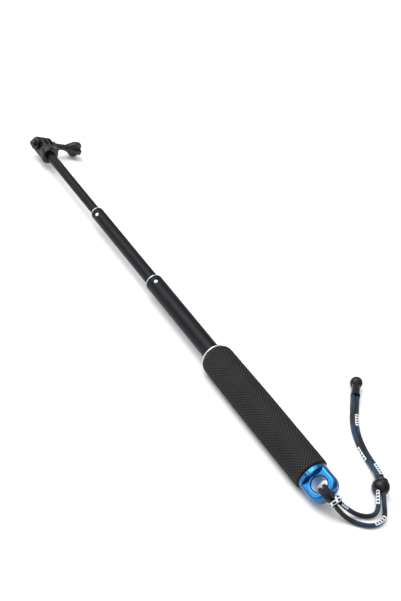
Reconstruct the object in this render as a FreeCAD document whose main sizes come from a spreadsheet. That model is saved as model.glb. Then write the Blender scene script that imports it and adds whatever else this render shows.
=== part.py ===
import FreeCAD, Part
import math
import os
import Sketcher

# A telescopic twist-lock pole for an action camera: a rubber grip on a handle tube, three
# sliding tubes, a three-finger camera mount with a thumbscrew, and a wrist cord on an end cap.
#
# The pole's axis lies along X, with the camera end at +X. A place along the pole is its
# distance from the grip's lower end. The pole rests on its grip, so Z = 0 is the surface.

# ---------------------------------------------------------------- driving dimensions (mm)
SIZES = {
    # handle
    "grip_length": 150.5, "grip_diameter": 32.0, "grip_taper": 0.7,
    "grip_taper_start": 83.0, "grip_round": 6.0, "grip_edge": 1.0,
    "handle_wall": 1.2, "handle_start": 2.0, "grip_ring_rim": 1.0, "grip_ring_length": 1.6,
    "ring_skirt": 2.0,
    # the three sliding tubes: the thinnest one's diameter, how much wider each tube is than
    # the one inside it, their visible lengths and the length held inside
    "upper_diameter": 9.4, "middle_step": 3.6, "lower_step": 4.0, "handle_step": 4.6,
    "lower_visible": 108.0, "middle_visible": 112.0, "upper_visible": 98.5,
    "tube_wall": 0.9, "tube_overlap": 14.0,
    # guide bush, bright ring and rivet at each mouth
    "mouth_round": 2.4, "mouth_step": 1.1, "ring_length": 0.9, "guide_length": 14.0,
    "rivet_diameter": 3.5, "rivet_height": 0.5, "rivet_inset": 8.4,
    # twist lock at the lower end of each tube
    "flange_length": 2.0, "spigot_length": 8.0, "lock_length": 10.0, "lock_play": 1.5,
    "lock_wall": 1.6, "lock_slit": 1.6, "slit_stop": 1.8, "retainer_length": 1.6,
    "retainer_shank": 1.2, "retainer_grip": 7.0,
    # clearances: fixed inside one moving piece, sliding fit, free air, and faces that meet
    "fixed_gap": 0.03, "slide_fit": 0.09, "free_gap": 0.35, "seat_gap": 0.1,
    # broken edges of turned and moulded pieces
    "fine_break": 0.3, "edge_break": 0.5, "soft_break": 1.0,
    # end cap with the eye for the wrist cord
    "cap_diameter": 28.0, "cap_collar": 4.5, "cap_nose_round": 10.0, "cap_bail": 15.0,
    "eye_diameter": 14.0, "eye_margin": 2.1, "eye_wall": 5.4, "plug_length": 14.0,
    "eye_round": 1.8, "seal_section": 1.6, "seal_inset": 4.0,
    # camera mount
    "base_diameter": 19.3, "base_thickness": 5.0, "neck_length": 6.0, "neck_slope": 3.4,
    "finger_radius": 7.5, "finger_thickness": 3.0, "finger_gap": 3.2, "finger_rise": 25.0,
    "pivot_diameter": 5.3, "boss_depth": 3.0, "boss_radius": 6.4, "group_offset": 2.5,
    "gap_floor": 11.6, "mount_round": 0.8, "stud_diameter": 6.3, "stud_length": 8.0,
    "insert_length": 14.0, "insert_flange": 1.6, "insert_lip": 0.6,
    # thumbscrew and cap nut
    "screw_diameter": 4.9, "screw_fit": 0.06, "nut_width": 8.0, "nut_thickness": 4.0,
    "dome_radius": 3.6, "dome_height": 5.0, "dome_wall": 1.2, "collar_diameter": 9.4,
    "collar_length": 8.0, "collar_land": 6.5, "shank_diameter": 6.6, "shank_length": 12.5,
    "lobe_reach": 8.5, "lobe_width": 5.0, "lobe_length": 20.0, "lobe_ramp": 12.0,
    "core_ramp": 6.0, "lobe_core": 4.4, "lobe_corner": 2.0, "lobe_round": 1.4,
    # how the pieces are turned about the pole (degrees from the Y axis)
    "head_roll": 8.0, "cap_roll": 38.0, "middle_rivet_angle": -58.0, "lower_rivet_angle": -36.0,
    # wrist cord
    "cord_diameter": 4.2, "cord_fit": 0.05, "anchor_gap": 0.5, "anchor_pitch": 4.6,
    "hitch_radius": 6.0, "hitch_length": 6.0, "hitch_taper": 1.6,
    "lock_ball_diameter": 16.0, "lock_ball_height": 14.5, "lock_seam": 0.6,
    "lock_seam_depth": 0.4, "plunger_diameter": 6.6, "plunger_reach": 1.6, "cord_spacing": 4.8,
    "toggle_diameter": 12.4, "toggle_mouth": 9.4, "toggle_length": 27.0, "toggle_waist": 8.2,
    "toggle_skirt": 2.4,
}


class Size:
    """A length that carries both its number and the sheet formula it comes from."""

    def __init__(self, number, formula):
        self.number = number
        self.formula = formula

    def __add__(self, other):
        other = as_size(other)
        return Size(self.number + other.number, f"({self.formula} + {other.formula})")

    def __sub__(self, other):
        other = as_size(other)
        return Size(self.number - other.number, f"({self.formula} - {other.formula})")

    def __mul__(self, factor):
        factor = as_size(factor)
        return Size(self.number * factor.number, f"({self.formula} * {factor.formula})")

    def __truediv__(self, factor):
        factor = as_size(factor)
        return Size(self.number / factor.number, f"({self.formula} / {factor.formula})")


def as_size(value):
    if isinstance(value, Size):
        return value
    return Size(float(value), f"{float(value):g}")


doc = FreeCAD.newDocument("TelescopicPole")
sheet = doc.addObject("Spreadsheet::Sheet", "Dims")
for row, (alias, number) in enumerate(SIZES.items(), start=1):
    sheet.set(f"A{row}", alias)
    sheet.set(f"B{row}", f"{number:g}")
    sheet.setAlias(f"B{row}", alias)
doc.recompute()


def size(alias):
    return Size(float(sheet.get(alias)), f"Dims.{alias}")


ZERO = as_size(0)
X_AXIS = FreeCAD.Vector(1, 0, 0)
nodes = []


# ---------------------------------------------------------------- sketch and body helpers
def new_body(label):
    body = doc.addObject("PartDesign::Body", label)
    body.Label = label
    nodes.append(body)
    return body


def new_sketch(body, name, role, shift=None):
    """A sketch on one of the body's origin planes, moved along the plane's normal."""
    sketch = body.newObject("Sketcher::SketchObject", name)
    plane = next(item for item in body.Origin.OriginFeatures if item.Role == role)
    sketch.AttachmentSupport = (plane, [""])
    sketch.MapMode = "FlatFace"
    if shift is not None:
        sketch.setExpression("AttachmentOffset.Base.z", shift.formula)
    return sketch


def pin_point(sketch, geometry, end, across, up):
    """Fix a sketch point by its two distances from the sketch's origin."""
    for kind, length, axis in (("DistanceX", across, -2), ("DistanceY", up, -1)):
        if length.number == 0.0:
            sketch.addConstraint(Sketcher.Constraint("PointOnObject", geometry, end, axis))
        else:
            index = sketch.addConstraint(
                Sketcher.Constraint(kind, geometry, end, length.number))
            sketch.setExpression(f"Constraints[{index}]", length.formula)


def arc_between(start, finish, heading):
    """The arc that leaves start along heading and ends at finish, and whether it turns left."""
    chord = finish - start
    side = FreeCAD.Vector(-heading.y, heading.x, 0)
    bend = chord.Length ** 2 / (2 * side.dot(chord))
    centre = start + side * bend
    left = bend > 0
    first, last = (start, finish) if left else (finish, start)
    angles = [math.atan2(p.y - centre.y, p.x - centre.x) for p in (first, last)]
    if angles[1] < angles[0]:
        angles[1] += 2 * math.pi
    circle = Part.Circle(centre, FreeCAD.Vector(0, 0, 1), abs(bend))
    return Part.ArcOfCircle(circle, *angles), left


def draw_outline(sketch, corners):
    """A closed outline. A corner is (across, up), and (across, up, "arc") leaves on an arc
    that is tangent to the edge before it."""
    spots = [FreeCAD.Vector(as_size(c[0]).number, as_size(c[1]).number, 0) for c in corners]
    count = len(corners)
    ends = []
    heading = None
    for index, corner in enumerate(corners):
        start, finish = spots[index], spots[(index + 1) % count]
        if len(corner) == 3:
            edge, left = arc_between(start, finish, heading)
            ends.append((1, 2) if left else (2, 1))
            radial = finish - FreeCAD.Vector(edge.Center.x, edge.Center.y, 0)
            turn = FreeCAD.Vector(-radial.y, radial.x, 0) * (1 if left else -1)
            heading = turn.normalize()
        else:
            edge = Part.LineSegment(start, finish)
            ends.append((1, 2))
            heading = (finish - start).normalize()
        sketch.addGeometry(edge, False)
    for index, corner in enumerate(corners):
        before = index - 1 if index else count - 1
        kind = "Tangent" if len(corner) == 3 else "Coincident"
        sketch.addConstraint(
            Sketcher.Constraint(kind, before, ends[before][1], index, ends[index][0]))
    for index, corner in enumerate(corners):
        pin_point(sketch, index, ends[index][0], as_size(corner[0]), as_size(corner[1]))


def turned(label, corners):
    """A body turned about its own X axis from an outline of (along, radius) corners."""
    body = new_body(label)
    sketch = new_sketch(body, label + "_outline", "XZ_Plane")
    draw_outline(sketch, corners)
    spin_profile(body, sketch, "H_Axis")
    return body


def hole_sketch(body, name, role, across, up, radius, shift=None):
    sketch = new_sketch(body, name, role, shift)
    circle = Part.Circle(FreeCAD.Vector(across.number, up.number, 0),
                         FreeCAD.Vector(0, 0, 1), radius.number)
    sketch.addGeometry(circle, False)
    pin_point(sketch, 0, 3, across, up)
    index = sketch.addConstraint(Sketcher.Constraint("Radius", 0, radius.number))
    sketch.setExpression(f"Constraints[{index}]", radius.formula)
    return sketch


def pad(body, sketch, length, midplane=False, reverse=False):
    feature = body.newObject("PartDesign::Pad", sketch.Name + "_pad")
    feature.Profile = sketch
    feature.Length = length.number
    feature.setExpression("Length", length.formula)
    feature.Midplane = midplane
    feature.Reversed = reverse
    doc.recompute()
    return feature


def pocket(body, sketch, length, midplane=False, reverse=False):
    """A pocket that must remove material."""
    before = body.Shape.Volume
    feature = body.newObject("PartDesign::Pocket", sketch.Name + "_cut")
    feature.Profile = sketch
    feature.Length = length.number
    feature.setExpression("Length", length.formula)
    feature.Midplane = midplane
    feature.Reversed = reverse
    doc.recompute()
    if body.Shape.Volume > before - 1e-6:
        raise RuntimeError(f"{sketch.Name} cuts nothing")
    return feature


def repeat_round(body, feature, role, count):
    """Repeat a feature evenly about one of the body's own axes."""
    pattern = body.newObject("PartDesign::PolarPattern", feature.Name + "_round")
    pattern.Originals = [feature]
    axis = next(item for item in body.Origin.OriginFeatures if item.Role == role)
    pattern.Axis = (axis, [""])
    pattern.Angle = 360
    pattern.Occurrences = count
    body.Tip = pattern
    doc.recompute()
    return pattern


def spin_profile(body, sketch, axis):
    """Turn a sketch all the way round its horizontal or vertical axis."""
    spin = body.newObject("PartDesign::Revolution", sketch.Name + "_turning")
    spin.Profile = sketch
    spin.ReferenceAxis = (sketch, [axis])
    spin.Angle = 360
    doc.recompute()
    return spin


def spots_along(edge):
    low, high = edge.ParameterRange
    return [edge.valueAt(low + (high - low) * share) for share in (0.0, 0.25, 0.5, 0.75, 1.0)]


def round_edges(body, name, radius, wanted):
    """Fillet those edges of the body, as it is so far, whose every spot passes the test."""
    base = body.Tip
    names = [f"Edge{number}" for number, edge in enumerate(base.Shape.Edges, start=1)
             if all(wanted(spot) for spot in spots_along(edge))]
    if not names:
        raise RuntimeError(f"{name} finds no edge")
    fillet = body.newObject("PartDesign::Fillet", name)
    fillet.Base = (base, names)
    fillet.Radius = radius.number
    fillet.setExpression("Radius", radius.formula)
    doc.recompute()
    return fillet


def place(body, along, roll=None):
    """Put a body on the pole: its origin this far along the axis, turned about it by roll."""
    body.Placement = FreeCAD.Placement(FreeCAD.Vector(0, 0, 0), FreeCAD.Rotation(X_AXIS, 1))
    body.setExpression("Placement.Base.x", (along + pole_x).formula)
    body.setExpression("Placement.Base.y", pole_y.formula)
    body.setExpression("Placement.Base.z", pole_z.formula)
    body.setExpression("Placement.Rotation.Angle", (roll or ZERO).formula)


# ---------------------------------------------------------------- places along the pole
fixed_gap = size("fixed_gap")
slide_fit = size("slide_fit")
free_gap = size("free_gap")
tube_radius = {"upper": size("upper_diameter") / 2}
tube_radius["middle"] = tube_radius["upper"] + size("middle_step") / 2
tube_radius["lower"] = tube_radius["middle"] + size("lower_step") / 2
handle_radius = tube_radius["lower"] + size("handle_step") / 2
handle_bore = handle_radius - size("handle_wall")
ring_radius = handle_radius + size("grip_ring_rim")
tube_bore = {name: radius - size("tube_wall") for name, radius in tube_radius.items()}

mouth = {"handle": size("grip_length")}
mouth["lower"] = mouth["handle"] + size("lower_visible")
mouth["middle"] = mouth["lower"] + size("middle_visible")
mouth["upper"] = mouth["middle"] + size("upper_visible")
foot = {"lower": mouth["handle"] - size("tube_overlap"),
        "middle": mouth["lower"] - size("tube_overlap"),
        "upper": mouth["middle"] - size("tube_overlap")}
outer_bore = {"lower": handle_bore, "middle": tube_bore["lower"], "upper": tube_bore["middle"]}

base_start = mouth["upper"]
mount_start = base_start + size("insert_flange") + size("seat_gap")
pivot_along = base_start + size("finger_rise")
mount_pivot = pivot_along - mount_start
head_end = pivot_along + size("lobe_reach")
fingers_width = size("finger_thickness") * 3 + size("finger_gap") * 2
boss_face = fingers_width / 2 + size("boss_depth") - size("group_offset")
knob_start = fingers_width / 2 + size("group_offset") + free_gap
knob_end = knob_start + size("collar_length") + size("shank_length") + size("lobe_length")
plug_radius = handle_bore - fixed_gap * 3
seal_start = size("handle_start") + size("seal_inset")
eye_offset = size("cap_collar") + size("eye_margin") + size("eye_diameter") / 2
cap_length = eye_offset + size("eye_diameter") / 2 + size("eye_wall")

# The sheet also holds where the pole's axis runs, so that the origin is below the middle.
head_angle = math.radians(SIZES["head_roll"])
roll_cosine = Size(math.cos(head_angle), "cos(Dims.head_roll * 1 deg)")
roll_sine = Size(math.sin(head_angle), "sin(Dims.head_roll * 1 deg)")
pole_x = (cap_length - head_end) / 2
lobe_tip = size("lobe_reach") - size("lobe_corner")
pole_y = (knob_end * roll_cosine + lobe_tip * roll_sine - size("grip_diameter") / 2) / 2
pole_z = size("grip_diameter") / 2


# ---------------------------------------------------------------- handle
def build_handle_tube():
    length = mouth["handle"] - size("handle_start")
    body = turned("handle_tube", [
        (ZERO, handle_bore), (ZERO, handle_radius), (length, handle_radius),
        (length, handle_bore)])
    place(body, size("handle_start"))


def build_grip():
    """The rubber sleeve, with a slight taper and a rounded shoulder at its mouth."""
    inner = handle_radius + fixed_gap
    full = size("grip_diameter") / 2
    top = full - size("grip_taper")
    lip = ring_radius + free_gap
    ring_start = mouth["handle"] - size("grip_ring_length")
    body = turned("rubber_grip", [
        (ZERO, inner), (ZERO, full - size("grip_edge")), (size("grip_edge"), full),
        (size("grip_taper_start"), full), (mouth["handle"] - size("grip_round"), top, "arc"),
        (ring_start, lip), (ring_start, inner)])
    place(body, ZERO)


def build_grip_ring():
    """The bright collar in the mouth of the grip, with a skirt inside the handle tube."""
    inner = tube_radius["lower"] + free_gap
    outer = ring_radius
    seat = handle_bore - fixed_gap
    length = size("grip_ring_length")
    bevel = size("edge_break")
    skirt = ZERO - size("ring_skirt")
    body = turned("grip_ring", [
        (skirt, inner), (skirt, seat), (fixed_gap, seat), (fixed_gap, outer - bevel),
        (bevel, outer), (length - bevel, outer), (length, outer - bevel), (length, inner)])
    place(body, mouth["handle"])


def build_guide_bush(label, end, bore, inner_radius, recess, roll=None):
    """The plastic sleeve inside a mouth that the next tube slides in."""
    length = size("guide_length")
    bevel = size("fine_break")
    seat = bore - fixed_gap
    body = turned(label, [
        (ZERO, inner_radius + slide_fit), (ZERO, seat - bevel), (bevel, seat), (length, seat),
        (length, inner_radius + slide_fit)])
    place(body, end - recess - length, roll)
    return body


def build_end_cap():
    """A turned cap with a threaded plug, flattened into a rounded bail with an eye."""
    radius = size("cap_diameter") / 2
    nose = size("cap_nose_round")
    length = cap_length
    inside = handle_radius - size("soft_break")
    groove = size("seal_section") / 2
    start = size("handle_start")
    groove_end = seal_start + size("seal_section")
    plug_end = start + size("plug_length")
    bevel = size("soft_break")
    body = turned("end_cap", [
        (ZERO - length, ZERO), (ZERO - length, radius - nose, "arc"),
        (nose - length, radius), (ZERO - size("seat_gap") - bevel, radius),
        (ZERO - size("seat_gap"), radius - bevel), (ZERO - size("seat_gap"), inside),
        (start - size("seat_gap"), inside), (start - size("seat_gap"), plug_radius - bevel),
        (start - size("seat_gap") + bevel, plug_radius), (seal_start, plug_radius),
        (seal_start, plug_radius - groove), (groove_end, plug_radius - groove),
        (groove_end, plug_radius), (plug_end - bevel, plug_radius),
        (plug_end, plug_radius - bevel), (plug_end, ZERO)])
    bail = size("cap_bail") / 2
    beyond = radius + bevel
    for side, name in ((1, "front"), (-1, "back")):
        flat = new_sketch(body, "cap_flat_" + name, "XZ_Plane", (bail + radius) * side)
        draw_outline(flat, [
            (ZERO - length - bevel, ZERO - beyond), (ZERO - size("cap_collar"), ZERO - beyond),
            (ZERO - size("cap_collar"), beyond), (ZERO - length - bevel, beyond)])
        pocket(body, flat, radius, reverse=side < 0)
    eye = hole_sketch(body, "cord_eye", "XZ_Plane", ZERO - eye_offset, ZERO,
                      size("eye_diameter") / 2)
    pocket(body, eye, radius * 2, midplane=True)

    # The outer rounding takes the wall beside the eye that the eye's own rounding leaves.
    face_half = Size(math.sqrt(radius.number ** 2 - bail.number ** 2),
                     f"sqrt(({radius.formula}) ^ 2 - ({bail.formula}) ^ 2)")
    bail_round = (face_half - size("eye_diameter") / 2 - size("eye_round")
                  - size("edge_break"))
    eye_x = -eye_offset.number
    eye_radius = size("eye_diameter").number / 2

    def on_bail_face(spot):
        behind_collar = spot.x < -size("cap_collar").number - 1e-4
        return behind_collar and abs(abs(spot.y) - bail.number) < 1e-4

    def from_eye(spot):
        return math.hypot(spot.x - eye_x, spot.z) - eye_radius

    round_edges(body, "eye_rounding", size("eye_round"),
                lambda spot: on_bail_face(spot) and abs(from_eye(spot)) < 1e-3)
    round_edges(body, "bail_rounding", bail_round,
                lambda spot: on_bail_face(spot) and from_eye(spot) > size("eye_round").number)
    place(body, ZERO, size("cap_roll"))


def build_cap_seal():
    """A rubber ring in the plug's groove."""
    gap = size("fixed_gap")
    inner = plug_radius - size("seal_section") / 2 + gap
    body = turned("cap_seal", [
        (gap, inner), (gap, handle_bore - gap), (size("seal_section") - gap, handle_bore - gap),
        (size("seal_section") - gap, inner)])
    place(body, seal_start)


# ---------------------------------------------------------------- sliding tubes
def mouth_tube(label, start, end, radius, bore, throat):
    """A tube whose far end is rolled inwards round a smaller throat."""
    length = end - start
    lip = radius - size("mouth_step")
    return turned(label, [
        (ZERO, bore), (ZERO, radius), (length - size("mouth_round"), radius, "arc"),
        (length, lip), (length, throat), (length - size("tube_wall"), throat),
        (length - size("tube_wall"), bore)])


def drill_rivet_hole(body, along, reach, name):
    """A hole through the wall on the body's own +Z side."""
    radius = size("rivet_diameter") / 2 + fixed_gap
    sketch = hole_sketch(body, name, "XY_Plane", along, ZERO, radius)
    pocket(body, sketch, reach, reverse=True)


def build_rivet(name, along, radius, inner_radius, roll):
    """A bright rivet with a rounded head, through the tube's wall into the guide bush."""
    pin = size("rivet_diameter") / 2
    low = inner_radius + slide_fit + size("fine_break")
    crown = radius + size("rivet_height")
    body = new_body(name + "_rivet")
    sketch = new_sketch(body, name + "_rivet_outline", "XZ_Plane")
    draw_outline(sketch, [(ZERO, low), (pin, low), (pin, crown), (ZERO, crown)])
    spin_profile(body, sketch, "V_Axis")
    round_edges(body, name + "_rivet_head", size("rivet_height") - fixed_gap,
                lambda spot: spot.z > crown.number - 1e-4)
    place(body, along, roll)


def build_sleeve(name, inner_name, roll):
    """A sliding tube that the next tube slides in: tube, ring, guide bush and rivet."""
    throat = tube_radius[inner_name] + free_gap
    rivet_along = mouth[name] - size("rivet_inset")
    reach = tube_radius[name] + size("soft_break")
    tube = mouth_tube(name + "_tube", foot[name], mouth[name], tube_radius[name],
                      tube_bore[name], throat)
    drill_rivet_hole(tube, rivet_along - foot[name], reach, name + "_rivet_hole")
    place(tube, foot[name], roll)

    lip = tube_radius[name] - size("mouth_step")
    bevel = size("fine_break")
    ring = turned(name + "_mouth_ring", [
        (ZERO, throat), (ZERO, lip), (size("ring_length") - bevel, lip),
        (size("ring_length"), lip - bevel), (size("ring_length"), throat)])
    place(ring, mouth[name])

    recess = size("tube_wall") + fixed_gap
    guide = build_guide_bush(name + "_guide_bush", mouth[name], tube_bore[name],
                             tube_radius[inner_name], recess, roll)
    guide_start = mouth[name] - recess - size("guide_length")
    drill_rivet_hole(guide, rivet_along - guide_start, reach, name + "_guide_hole")
    build_rivet(name, rivet_along, tube_radius[name], tube_radius[inner_name], roll)


def build_upper_tube():
    length = mouth["upper"] - foot["upper"]
    tube = turned("upper_tube", [
        (ZERO, tube_bore["upper"]), (ZERO, tube_radius["upper"]),
        (length, tube_radius["upper"]), (length, tube_bore["upper"])])
    place(tube, foot["upper"])


def build_twist_lock(name):
    """The lock at a tube's foot: a plug with a stem, a slit bush on the stem, a retainer."""
    stem = outer_bore[name] - slide_fit - size("lock_wall") - free_gap
    spigot = tube_bore[name] - fixed_gap
    flange = size("flange_length")
    reach = flange + size("lock_length") + size("lock_play") * 2
    shank = size("retainer_shank")
    bevel = size("edge_break")
    bore_end = size("retainer_grip") + size("soft_break") - reach
    plug = turned(name + "_lock_plug", [
        (ZERO - reach, shank + fixed_gap), (ZERO - reach, stem), (ZERO - flange, stem),
        (ZERO - flange, tube_radius[name]), (ZERO - fixed_gap, tube_radius[name]),
        (ZERO - fixed_gap, spigot), (size("spigot_length") - bevel, spigot),
        (size("spigot_length"), spigot - bevel), (size("spigot_length"), ZERO),
        (bore_end, ZERO), (bore_end, shank + fixed_gap)])
    place(plug, foot[name])

    length = size("lock_length")
    bush_outer = outer_bore[name] - slide_fit
    bush = turned(name + "_lock_bush", [
        (ZERO, stem + free_gap), (ZERO, bush_outer - bevel), (bevel, bush_outer),
        (length - bevel, bush_outer), (length, bush_outer - bevel), (length, stem + free_gap)])
    slit = new_sketch(bush, name + "_lock_slit", "XZ_Plane")
    half = size("lock_slit") / 2
    draw_outline(slit, [
        (ZERO - bevel, ZERO - half), (length - size("slit_stop"), ZERO - half),
        (length - size("slit_stop"), half), (ZERO - bevel, half)])
    pocket(bush, slit, outer_bore[name] * 3, midplane=True)
    place(bush, foot[name] - flange - size("lock_play") - length)

    head = stem + size("lock_wall")
    thickness = size("retainer_length")
    tip = thickness + size("retainer_grip")
    retainer = turned(name + "_lock_retainer", [
        (ZERO, ZERO), (ZERO, head - bevel), (bevel, head), (thickness, head),
        (thickness, shank), (tip, shank), (tip, ZERO)])
    place(retainer, foot[name] - reach - thickness - fixed_gap)


# ---------------------------------------------------------------- camera mount
def place_on_pivot(body, across):
    """Put a body on the pivot's axis, this far out on the nut's side."""
    place(body, pivot_along, size("head_roll"))
    body.setExpression("Placement.Base.y", (pole_y + across * roll_cosine).formula)
    body.setExpression("Placement.Base.z", (pole_z + across * roll_sine).formula)


def turned_across(label, corners):
    """A body turned about its own Y axis from (radius, along) corners."""
    body = new_body(label)
    sketch = new_sketch(body, label + "_outline", "XY_Plane")
    draw_outline(sketch, corners)
    spin_profile(body, sketch, "V_Axis")
    return body


def draw_hexagon(sketch, across, apothem):
    """A hexagon about (across, 0) with two corners level with its centre."""
    corner = apothem / math.cos(math.pi / 6)
    spots = []
    for turn in range(6):
        angle = math.pi / 3 * turn
        rise = corner * round(math.sin(angle), 9)
        spots.append((across + corner * round(math.cos(angle), 9), rise))
    draw_outline(sketch, spots)


def build_head_insert():
    """The plug in the top tube that carries the threaded stud under the mount."""
    spigot = tube_bore["upper"] - fixed_gap
    stud = size("stud_diameter") / 2
    flange = size("insert_flange")
    lip = tube_radius["upper"] + size("insert_lip")
    bevel = size("edge_break")
    stud_end = flange + size("stud_length")
    back = ZERO - size("insert_length")
    body = turned("head_insert", [
        (back, ZERO), (back, spigot - bevel), (back + bevel, spigot), (fixed_gap, spigot),
        (fixed_gap, lip), (flange, lip), (flange, stud), (stud_end - bevel, stud),
        (stud_end, stud - bevel), (stud_end, ZERO)])
    place(body, base_start)


def build_camera_mount():
    """A round base that carries three fingers, the outer one with a boss for the nut."""
    radius = size("base_diameter") / 2
    thick = size("base_thickness")
    finger = size("finger_radius")
    bevel = size("soft_break")
    neck_end = thick + size("neck_length")
    body = turned("camera_mount", [
        (ZERO, ZERO), (ZERO, radius - bevel), (bevel, radius), (thick - bevel, radius),
        (thick, radius - bevel), (thick + size("neck_slope"), finger - bevel),
        (neck_end, finger - bevel), (neck_end, ZERO)])

    # The block that becomes the fingers ends in a half circle round the pivot.
    half = size("finger_thickness") / 2
    block = new_sketch(body, "finger_block", "XZ_Plane", size("group_offset") + fingers_width / 2)
    low = thick - bevel
    draw_outline(block, [
        (low, ZERO - finger), (mount_pivot, ZERO - finger, "arc"), (mount_pivot, finger),
        (low, finger)])
    pad(body, block, fingers_width, reverse=True)
    beyond = finger + bevel
    floor = size("gap_floor")
    for name, start in (("inner", ZERO - half), ("outer", half + size("finger_gap"))):
        gap = new_sketch(body, "finger_gap_" + name, "XZ_Plane", size("group_offset") + start)
        draw_outline(gap, [
            (floor, ZERO - beyond), (mount_pivot + beyond, ZERO - beyond),
            (mount_pivot + beyond, beyond), (floor, beyond)])
        pocket(body, gap, size("finger_gap"))

    # The boss on the outer finger takes the cap nut.
    outer_face = size("group_offset") - fingers_width / 2
    boss = hole_sketch(body, "nut_boss", "XZ_Plane", mount_pivot, ZERO, size("boss_radius"),
                       outer_face)
    pad(body, boss, size("boss_depth"), reverse=True)
    group_middle = -size("group_offset").number

    def on_mount_rim(spot):
        """Round the boss, and the rounded ends of the inmost finger's outer face."""
        on_boss = spot.y > boss_face.number - 1e-4
        on_face = abs(spot.y - group_middle + fingers_width.number / 2) < 1e-4
        return on_boss or (on_face and spot.x > neck_end.number + 1e-4)

    round_edges(body, "mount_rounding", size("mount_round"), on_mount_rim)
    bore = hole_sketch(body, "pivot_bore", "XZ_Plane", mount_pivot, ZERO,
                       size("pivot_diameter") / 2)
    pocket(body, bore, (fingers_width + size("boss_depth")) * 3, midplane=True)
    seat = new_sketch(body, "nut_seat", "XZ_Plane", outer_face - size("boss_depth"))
    draw_hexagon(seat, mount_pivot, size("nut_width") / 2 + fixed_gap * 2)
    pocket(body, seat, size("nut_thickness") + size("seat_gap"), reverse=True)
    stud_bore = hole_sketch(body, "stud_bore", "YZ_Plane", ZERO, ZERO,
                            size("stud_diameter") / 2 + fixed_gap)
    pocket(body, stud_bore, size("stud_length") + size("edge_break"), reverse=True)
    place(body, mount_start, size("head_roll"))


def build_cap_nut():
    """A hexagon nut closed by a dome, with a blind bore for the screw."""
    body = new_body("cap_nut")
    hexagon = new_sketch(body, "nut_outline", "XZ_Plane")
    draw_hexagon(hexagon, ZERO, size("nut_width") / 2)
    pad(body, hexagon, size("nut_thickness"), reverse=True)
    top = size("nut_thickness") + size("dome_height")
    round_start = top - size("dome_radius")
    dome = new_sketch(body, "nut_dome", "XY_Plane")
    low = size("nut_thickness") - size("edge_break")
    draw_outline(dome, [
        (ZERO, low), (size("dome_radius"), low), (size("dome_radius"), round_start, "arc"),
        (ZERO, top)])
    spin_profile(body, dome, "V_Axis")
    bore = hole_sketch(body, "nut_bore", "XZ_Plane", ZERO, ZERO,
                       size("screw_diameter") / 2 + size("screw_fit"))
    pocket(body, bore, top - size("dome_wall"))
    place_on_pivot(body, boss_face - size("nut_thickness"))


def build_screw_stud():
    """The threaded rod of the thumbscrew, from inside the knob into the cap nut."""
    radius = size("screw_diameter") / 2
    tip = boss_face + size("dome_height") - size("dome_wall") - size("soft_break")
    inside = ZERO - knob_start - size("collar_length") - size("shank_length")
    bevel = size("edge_break")
    body = turned_across("thumbscrew_stud", [
        (ZERO, inside), (radius, inside), (radius, tip - bevel), (radius - bevel, tip),
        (ZERO, tip)])
    place_on_pivot(body, ZERO)


def build_knob():
    """A long neck that widens into four rounded lobes."""
    collar = size("collar_diameter") / 2
    shank = size("shank_diameter") / 2
    core = size("lobe_core")
    hole = size("screw_diameter") / 2 + fixed_gap
    bevel = size("edge_break")
    corner = size("lobe_corner")
    lobe_start = ZERO - size("collar_length") - size("shank_length")
    lobe_end = lobe_start - size("lobe_length")
    land_end = ZERO - size("collar_land")
    body = turned_across("thumbscrew_knob", [
        (hole, ZERO), (collar - bevel, ZERO), (collar, ZERO - bevel), (collar, land_end),
        (shank, ZERO - size("collar_length")), (shank, lobe_start),
        (core, lobe_start - size("core_ramp")), (core, lobe_end + corner),
        (core - corner, lobe_end), (ZERO, lobe_end), (ZERO, lobe_start - fixed_gap),
        (hole, lobe_start - fixed_gap)])
    reach = size("lobe_reach")
    lobe = new_sketch(body, "knob_lobe", "XY_Plane")
    root = lobe_start - size("soft_break")
    draw_outline(lobe, [
        (ZERO, root), (shank / 2, root), (reach, lobe_start - size("lobe_ramp")),
        (reach, lobe_end + corner), (reach - corner, lobe_end), (ZERO, lobe_end)])
    arm = pad(body, lobe, size("lobe_width"), midplane=True)
    repeat_round(body, arm, "Y_Axis", 4)

    def on_lobe_outside(spot):
        past_core = math.hypot(spot.x, spot.z) > core.number + size("edge_break").number
        return past_core and spot.y < (lobe_start - size("core_ramp")).number

    round_edges(body, "lobe_rounding", size("lobe_round"), on_lobe_outside)
    place_on_pivot(body, ZERO - knob_start)


# ---------------------------------------------------------------- wrist cord
# Routes on the surface, from the hitch at the end cap, through the cord lock, to the toggle.
# A place is how far it is from the cap's tip along X and along Y, and above the surface.
CORD_INNER = [(-7.4, -5.5, 15.8), (-8.9, -12.5, 10.8), (-11.4, -19.5, 6.4),
              (-14.4, -26.5, 3.4), (-17.8, -34.3, 2.4), (-19.4, -42.5, 2.9),
              (-16.6, -49.5, 4.6), (-5.9, -58.1, 7.3), (15.3, -76.3, 7.3),
              (28.1, -83.0, 3.6), (43.1, -86.0, 2.4), (59.1, -91.5, 2.4),
              (75.4, -100.0, 2.4), (93.4, -114.3, 2.7), (110.3, -129.6, 4.9)]
CORD_OUTER = [(-7.6, -0.7, 13.4), (-10.4, -6.1, 8.6), (-14.6, -12.1, 4.5),
              (-19.9, -18.1, 2.6), (-24.9, -24.9, 2.4), (-28.1, -32.9, 2.4),
              (-28.4, -42.5, 2.5), (-24.6, -51.8, 3.8), (-9.1, -61.7, 7.3),
              (12.2, -79.9, 7.3), (26.4, -87.3, 3.6), (42.1, -90.6, 2.4),
              (58.1, -96.0, 2.4), (73.4, -104.0, 2.4), (91.1, -118.5, 2.7),
              (107.3, -133.0, 4.9)]
LOCK_CENTRE = (3.1, -69.0, 7.3)
LOCK_HEADING = (0.76, -0.65, 0.0)
TOGGLE_START = (108.8, -131.3, 4.9)
TOGGLE_HEADING = (0.74, -0.673, 0.07)
HITCH_START = (-2.4, -0.4, 17.0)
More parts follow.
